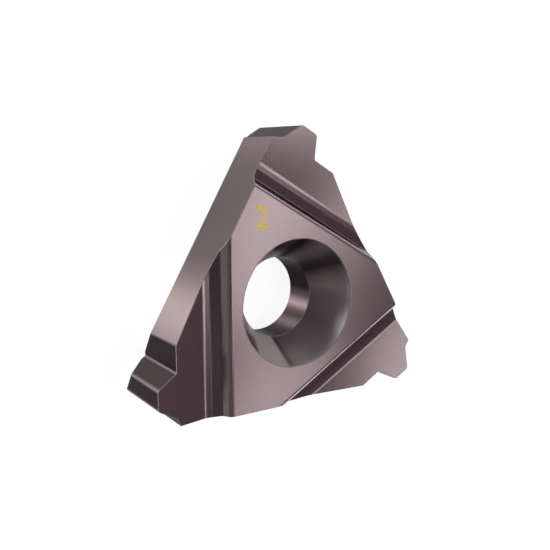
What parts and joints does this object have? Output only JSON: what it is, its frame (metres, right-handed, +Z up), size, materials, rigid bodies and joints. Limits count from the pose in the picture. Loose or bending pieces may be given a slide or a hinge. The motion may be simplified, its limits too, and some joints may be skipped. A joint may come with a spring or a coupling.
{
  "type": "threading insert",
  "caption": "Triangular laydown insert for cutting external screw threads, with a truncated 60-degree tooth and a chip groove at each corner and a countersunk screw hole.",
  "frame": {"origin": "where the axis of the screw hole meets the seat face", "axes": "+Z up along the screw hole's axis, out through the plateau; -Y square to one of the three equal sides; +X completes the frame, along that side"},
  "size_m": [0.0142, 0.0129, 0.0037],
  "materials": {
    "coated_carbide": "violet-bronze hard coating, smooth and glossy, over sintered tungsten carbide"
  },
  "bodies": {
    "root": {"threading_insert": "coated_carbide"}
  },
  "joints": []
}
